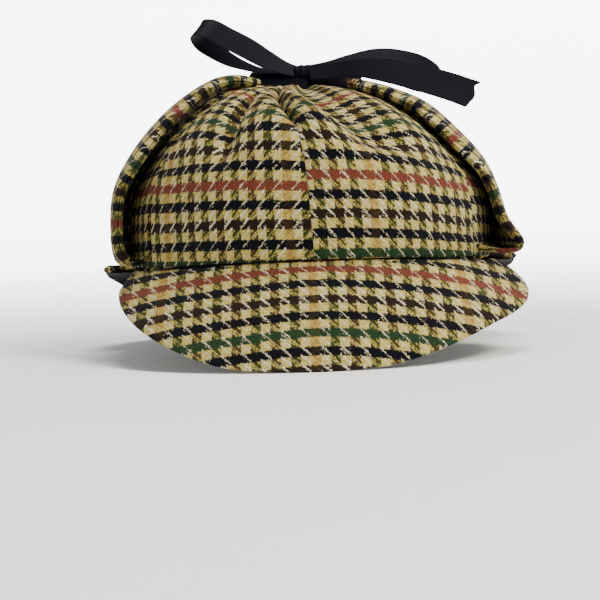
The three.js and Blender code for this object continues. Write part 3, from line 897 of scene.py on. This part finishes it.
# %% Sums on sockets
class Signal:
    def __init__(self, finish, socket):
        self.finish = finish
        self.socket = socket

    def sum(self, operation, *terms):
        return self.finish.add("ShaderNodeMath", {"operation": operation}, dict(enumerate(terms)))

    def __add__(self, other):
        return self.sum("ADD", self, other)

    __radd__ = __add__

    def __sub__(self, other):
        return self.sum("SUBTRACT", self, other)

    def __rsub__(self, other):
        return self.sum("SUBTRACT", other, self)

    def __mul__(self, other):
        return self.sum("MULTIPLY", self, other)

    __rmul__ = __mul__

    def __truediv__(self, other):
        return self.sum("DIVIDE", self, other)

    def __mod__(self, other):
        return self.sum("FLOORED_MODULO", self, other)

    def __lt__(self, other):
        return self.sum("LESS_THAN", self, other)

    def __gt__(self, other):
        return self.sum("GREATER_THAN", self, other)

    def __pow__(self, other):
        return self.sum("POWER", self, other)

    def __abs__(self):
        return self.sum("ABSOLUTE", self)

    def floor(self):
        return self.sum("FLOOR", self)

    def fraction(self):
        return self.sum("FRACT", self)

    def sine(self):
        return self.sum("SINE", self)


# %% A finish and its one way of adding nodes
class Finish:
    def __init__(self, name):
        self.material = bpy.data.materials.new(name)
        self.material.use_nodes = True
        self.tree = self.material.node_tree
        self.tree.nodes.clear()

    def add(self, kind, settings=None, sockets=None, output=0):
        node = self.tree.nodes.new(kind)
        for name, value in (settings or {}).items():
            if name == "stops":
                self.set_stops(node.color_ramp, value)
            else:
                setattr(node, name, value)
        for place, value in (sockets or {}).items():
            if isinstance(value, Signal):
                self.tree.links.new(value.socket, node.inputs[place])
            else:
                node.inputs[place].default_value = value
        return Signal(self, node.outputs[output])

    def set_stops(self, ramp, stops):
        ramp.interpolation = "CONSTANT"
        while len(ramp.elements) < len(stops):
            ramp.elements.new(1.0)
        for element, (position, colour) in zip(ramp.elements, stops):
            element.position = position
            element.color = colour

    def blend(self, factor, first, second, kind="MIX"):
        settings = {"data_type": "RGBA", "blend_type": kind, "clamp_factor": True}
        return self.add("ShaderNodeMix", settings, {0: factor, 6: first, 7: second}, output=2)

    def noise(self, vector, scale, detail=2.0, roughness=0.5):
        sockets = {"Vector": vector, "Scale": scale, "Detail": detail, "Roughness": roughness}
        return self.add("ShaderNodeTexNoise", {"noise_dimensions": "3D"}, sockets)

    def vector(self, x, y, z=0.0):
        return self.add("ShaderNodeCombineXYZ", {}, {"X": x, "Y": y, "Z": z})

    def split(self, vector):
        return [self.add("ShaderNodeSeparateXYZ", {}, {0: vector}, output=axis) for axis in (0, 1)]

    def darken(self, colour, share):
        return self.blend(1.0, colour, self.vector(share, share, share), "MULTIPLY")

    def close(self, shader):
        output = self.tree.nodes.new("ShaderNodeOutputMaterial")
        self.tree.links.new(shader.socket, output.inputs["Surface"])
        return self.material


def paint(red, green, blue):
    """A colour as seen on a screen, from 0 to 255, turned into light."""
    def light(value):
        share = value / 255
        return share / 12.92 if share <= 0.04045 else ((share + 0.055) / 1.055) ** 2.4
    return (light(red), light(green), light(blue), 1.0)


# %% [markdown]
# Tweed is woven, so its colour comes from threads. The warp runs up the cloth in a repeat of eight
# coloured stripes, the weft across it in another, with cream between, four threads to each band. In a
# two and two twill each thread steps one along at each row, which gives the star check its slanting
# teeth. Dark wool covers more than pale wool, so a pale warp shows on a dark band as one slim slanting
# line, a little wider over the brown rows, and a dark warp as a broad line with a thin one beside it.
# An image of cloth would blur close up, while sums on thread numbers stay sharp and fit each band.

# %% The check's colours and its weave
CREAM_WARP = paint(206, 196, 166)
CREAM_WEFT = paint(184, 167, 90)
BLACK = paint(9, 11, 18)
RED = paint(106, 54, 42)
GREEN_WARP = paint(26, 40, 18)
GREEN_WEFT = paint(32, 54, 32)
BROWN_WARP = paint(40, 24, 20)
BROWN_WEFT = paint(34, 24, 18)
GOLD = paint(156, 124, 64)
WARP_CYCLE = [GOLD, GREEN_WARP, BROWN_WARP, GREEN_WARP, BROWN_WARP, GREEN_WARP, BROWN_WARP, GREEN_WARP]
WEFT_CYCLE = [GREEN_WEFT, BLACK, BROWN_WEFT, BLACK, RED, BLACK, BROWN_WEFT, BLACK]
CYCLE = 2 * BAND * len(WARP_CYCLE)
BROWN_BAND = 2
BROWN_EVERY = 4
TWILL = 4
TWILL_SLANT = 0.6
PALE_SHOWS = 0.6
DARK_SHOWS = 2.2
BROWN_LETS_THROUGH = 0.5
SECOND_AT = 2.7
SECOND_PALE = -0.05
SECOND_DARK = 0.8
CREEP_ON_PALE = 0.06
CREEP_ON_DARK = 0.88
print("the check repeats after", CYCLE, "threads")


# %% Bands of colour
def band_stops(cycle, cream):
    stops = []
    for index, colour in enumerate(cycle):
        stops.append((2 * index / (2 * len(cycle)), colour))
        stops.append(((2 * index + 1) / (2 * len(cycle)), cream))
    return stops


def band_colour(finish, number, cycle, cream):
    """A thread's colour, read at its middle by its number in the cycle."""
    share = ((number + 0.5) / CYCLE).fraction()
    return finish.add("ShaderNodeValToRGB", {"stops": band_stops(cycle, cream)}, {0: share})


def is_coloured(number):
    """1 in the first half of each pair of bands, 0 in the cream half."""
    return ((number + 0.5) / (2 * BAND)).fraction() < 0.5


# %% [markdown]
# Wool is never even. Slow noise lets the bands wander, fine noise roughens each thread's edge, patches
# thin the slanting lines, and each thread has flecks of lighter and darker wool of its own. Every kind
# of noise is read on its own layer, so that no two of them move together.

# %% The wool's unevenness
WOOL_NOISE = table(
    "name layer scale detail roughness",
    ("fuzz", 3.0, 1.9, 3.0, 0.7),
    ("fray", 8.0, 1.9, 3.0, 0.7),
    ("patch", 15.0, 0.5, 2.0, 0.5),
    ("speck", 22.0, 1.5, 2.0, 0.6),
)
DRIFT = {"scale": 0.1, "warp": 0.9, "weft": 0.8}
FUZZ = 2.8
FRAY = 2.6
PATCHY = 2.6
HEATHER = {"apart": 3.7, "along": 0.55, "layer": 9.0, "detail": 3.0, "roughness": 0.6}
# hollow and rise paint shade into the hollows between threads; heather, speck and less set the wool's own
# flecks.
SHADE = {"hollow": 0.72, "rise": 0.28, "heather": 1.3, "speck": 2.4, "less": 0.85}
ROUNDING = 0.5


def wool(finish, threads, name):
    row = next(row for row in WOOL_NOISE if row["name"] == name)
    spot = finish.vector(threads[0], threads[1], row["layer"])
    return finish.noise(spot, row["scale"], row["detail"], row["roughness"])


def heather_at(finish, x, y, layer=0.0):
    return finish.noise(finish.vector(x, y, layer), 1.0, HEATHER["detail"], HEATHER["roughness"])


# %% Which thread lies on top
def warp_over_weft(u, v, weft_number, warp_is_dark, patch):
    """1 where the warp shows: along one slanting line in each four threads, and a thin second one."""
    weft_band = ((weft_number + 0.5) / (2 * BAND)).floor() % BROWN_EVERY
    is_brown = (weft_band > BROWN_BAND - 0.5) * (weft_band < BROWN_BAND + 0.5)
    pale_shows = PALE_SHOWS + BROWN_LETS_THROUGH * is_brown
    shows = pale_shows + (DARK_SHOWS - pale_shows) * warp_is_dark + patch * PATCHY
    step = weft_number * (1 - TWILL_SLANT) + v * TWILL_SLANT
    twill = (u + step) % TWILL
    second = SECOND_PALE + (SECOND_DARK - SECOND_PALE) * warp_is_dark + patch * PATCHY
    second_over = (twill > SECOND_AT) * (twill < second + SECOND_AT)
    return twill.sum("MAXIMUM", twill < shows, second_over)


# %% Tweed
def tweed():
    finish = Finish("tweed")
    threads = finish.split(finish.add("ShaderNodeUVMap", {"uv_map": "threads"}))
    drift = finish.noise(finish.vector(threads[0] * DRIFT["scale"], threads[1] * DRIFT["scale"]), 1.0) - 0.5
    u = threads[0] + drift * DRIFT["warp"] + (wool(finish, threads, "fuzz") - 0.5) * FUZZ
    v = threads[1] + drift.sine() * DRIFT["weft"] + (wool(finish, threads, "fray") - 0.5) * FRAY
    warp_number = u.floor()
    weft_number = v.floor()
    warp_colour = band_colour(finish, warp_number, WARP_CYCLE, CREAM_WARP)
    weft_colour = band_colour(finish, weft_number, WEFT_CYCLE, CREAM_WEFT)
    warp_is_dark = is_coloured(warp_number)
    creep = warp_is_dark * (CREEP_ON_PALE + CREEP_ON_DARK * is_coloured(weft_number))
    warp_colour = finish.blend(creep, warp_colour, weft_colour)
    patch = wool(finish, threads, "patch") - 0.5
    warp_over = warp_over_weft(u, v, weft_number, warp_is_dark, patch)
    colour = finish.blend(warp_over, weft_colour, warp_colour)
    warp_round = (1 - abs(u.fraction() - 0.5) * 2) ** ROUNDING
    weft_round = (1 - abs(v.fraction() - 0.5) * 2) ** ROUNDING
    height = weft_round + (warp_round - weft_round) * warp_over
    warp_heather = heather_at(finish, warp_number * HEATHER["apart"], v * HEATHER["along"])
    weft_heather = heather_at(finish, u * HEATHER["along"], weft_number * HEATHER["apart"], HEATHER["layer"])
    heather = weft_heather + (warp_heather - weft_heather) * warp_over
    flecks = SHADE["heather"] * heather + SHADE["speck"] * wool(finish, threads, "speck") - SHADE["less"]
    # The base colour is painted darker in the hollows between threads and lighter on their rounded tops,
    # which is painted shade, and is then multiplied by the wool's own flecks.
    shade = (SHADE["hollow"] + SHADE["rise"] * height) * flecks
    bump = finish.add("ShaderNodeBump", {}, {"Strength": 0.6, "Distance": 0.0004, "Height": height + heather})
    shader = finish.add("ShaderNodeBsdfPrincipled", {}, {
        "Base Color": finish.darken(colour, shade), "Roughness": 1.0, "Specular IOR Level": 0.05,
        "Sheen Weight": 0.02, "Sheen Roughness": 0.5, "Normal": bump})
    return finish.close(shader)


# %% [markdown]
# Satin shows its long threads as a smooth face with a soft streak of light along it. One plain black
# would look like plastic, so fine ribs run along the ribbon and faint ones across it. The same weave
# serves the thin lining under the peaks, which is a little greyer and duller.

# %% Satin
RIBS = {"across": 7.0, "along": 0.25, "detail": 3.0}
CROSS_RIBS = {"across": 0.2, "along": 3.0, "layer": 4.0, "detail": 2.0, "share": 0.5}
RIBS_DARKEN = 0.5
RIBS_DULL = 0.12


def satin(name, colour, roughness):
    finish = Finish(name)
    across, along = finish.split(finish.add("ShaderNodeUVMap", {"uv_map": "threads"}))
    ribs = finish.noise(finish.vector(across * RIBS["across"], along * RIBS["along"]), 1.0, RIBS["detail"])
    crossing = finish.vector(across * CROSS_RIBS["across"], along * CROSS_RIBS["along"], CROSS_RIBS["layer"])
    cross = finish.noise(crossing, 1.0, CROSS_RIBS["detail"])
    shade = (1 - RIBS_DARKEN / 2) + RIBS_DARKEN * ribs
    bump = finish.add("ShaderNodeBump", {}, {"Strength": 0.2, "Distance": 0.0001,
                                             "Height": ribs + CROSS_RIBS["share"] * cross})
    shader = finish.add("ShaderNodeBsdfPrincipled", {}, {
        "Base Color": finish.darken(colour, shade), "Roughness": roughness + RIBS_DULL * ribs,
        "Specular IOR Level": 0.025, "Normal": bump})
    return finish.close(shader)


finishes = {
    "tweed": tweed(),
    "satin_ribbon": satin("satin_ribbon", paint(14, 13, 21), 0.42),
    "satin_lining": satin("satin_lining", paint(17, 16, 20), 0.5),
}
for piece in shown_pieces():
    if piece.get("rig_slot") in finishes:
        piece.data.materials.clear()
        piece.data.materials.append(finishes[piece["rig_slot"]])
print("finishes", sorted(finishes))

# %% [markdown]
# The studio is a pale floor that sweeps up into a low wall all round, so that every side has the same
# plain background. The far floor and the wall are lit from within, most of all behind the hat, as in
# a white product booth. A bright world would do this too, but it would wash out the folds.

# %% Floor and backdrop
SWEEP_ROWS = table("radius height", (2.7, 0.03), (2.85, 0.1), (2.95, 0.22), (3.0, 0.4), (3.0, 0.8))
FLOOR_RADIUS = 2.4
FLOOR_SIDES = 96
GLOW = {"start": 0.20, "full": 1.2, "strength": 5.0, "from_right": 0.2, "round_about": 0.1}
NEARLY_NOTHING = 0.01


def floor():
    bpy.ops.object.select_all(action="DESELECT")
    bpy.ops.mesh.primitive_circle_add(vertices=FLOOR_SIDES, radius=FLOOR_RADIUS, fill_type="TRIFAN")
    piece = bpy.context.object
    piece.name = "floor"
    bpy.ops.object.mode_set(mode="EDIT")
    bpy.ops.mesh.select_all(action="SELECT")
    bpy.ops.mesh.region_to_loop()
    radius, height = FLOOR_RADIUS, 0.0
    for row in SWEEP_ROWS:
        wider = row["radius"] / radius
        bpy.ops.mesh.extrude_edges_move(TRANSFORM_OT_translate={"value": (0, 0, row["height"] - height)})
        bpy.ops.transform.resize(value=(wider, wider, 1))
        radius, height = row["radius"], row["height"]
    bpy.ops.object.mode_set(mode="OBJECT")
    bpy.ops.object.shade_smooth()
    finish = Finish("floor")
    x, y = finish.split(finish.add("ShaderNodeTexCoord", {}, {}, output=3))
    away = (x * x + y * y) ** 0.5
    glow = (away - GLOW["start"]) / (GLOW["full"] - GLOW["start"])
    glow = glow.sum("MINIMUM", glow, 1.0)
    glow = glow.sum("MAXIMUM", glow, 0.0)
    behind = (x * GLOW["from_right"] + y) / (away + NEARLY_NOTHING)
    behind = behind.sum("MAXIMUM", behind, 0.0)
    glow = glow * (GLOW["round_about"] + behind)
    shader = finish.add("ShaderNodeBsdfPrincipled", {}, {
        "Base Color": paint(240, 240, 240), "Roughness": 0.9, "Specular IOR Level": 0.1,
        "Emission Color": finish.vector(glow, glow, glow), "Emission Strength": GLOW["strength"]})
    piece.data.materials.append(finish.close(shader))
    piece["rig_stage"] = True
    print("floor", FLOOR_RADIUS, "m in radius")


floor()

# %% [markdown]
# The picture's light comes from the front right and from above, and the left side lies in shade. So a
# warm key light stands to the right of the camera, a weak fill to its left, and a broad one, a little
# pink, hangs over the crown. They are soft discs, because small lamps would draw hard shadows.

# %% Lights
LIGHTS = table(
    "name place aim size power colour",
    ("key", (0.85, -0.9, 1.3), (0, 0, 0.07), 0.7, 34, (1.0, 0.99, 0.88)),
    ("fill", (-0.5, -1.4, 0.6), (0, 0, 0.07), 0.8, 3, (1.0, 1.0, 0.92)),
    ("top", (0.2, 0.2, 1.6), (0, 0, 0.1), 0.9, 27, (1.0, 0.89, 0.94)),
)
WORLD_LIGHT = 0.16


def soft_light(row):
    bpy.ops.object.light_add(type="AREA", location=row["place"])
    light = bpy.context.object
    light.name = row["name"]
    light.data.shape = "DISK"
    light.data.size = row["size"]
    light.data.energy = row["power"]
    light.data.color = row["colour"]
    light.rotation_euler = (Vector(row["aim"]) - Vector(row["place"])).to_track_quat("-Z", "Y").to_euler()
    print(row["name"], "light of", row["power"], "W")


for row in LIGHTS:
    soft_light(row)
world = bpy.data.worlds.new("studio")
world.use_nodes = True
background = world.node_tree.nodes["Background"]
background.inputs["Color"].default_value = (1, 1, 1, 1)
background.inputs["Strength"].default_value = WORLD_LIGHT
bpy.context.scene.world = world
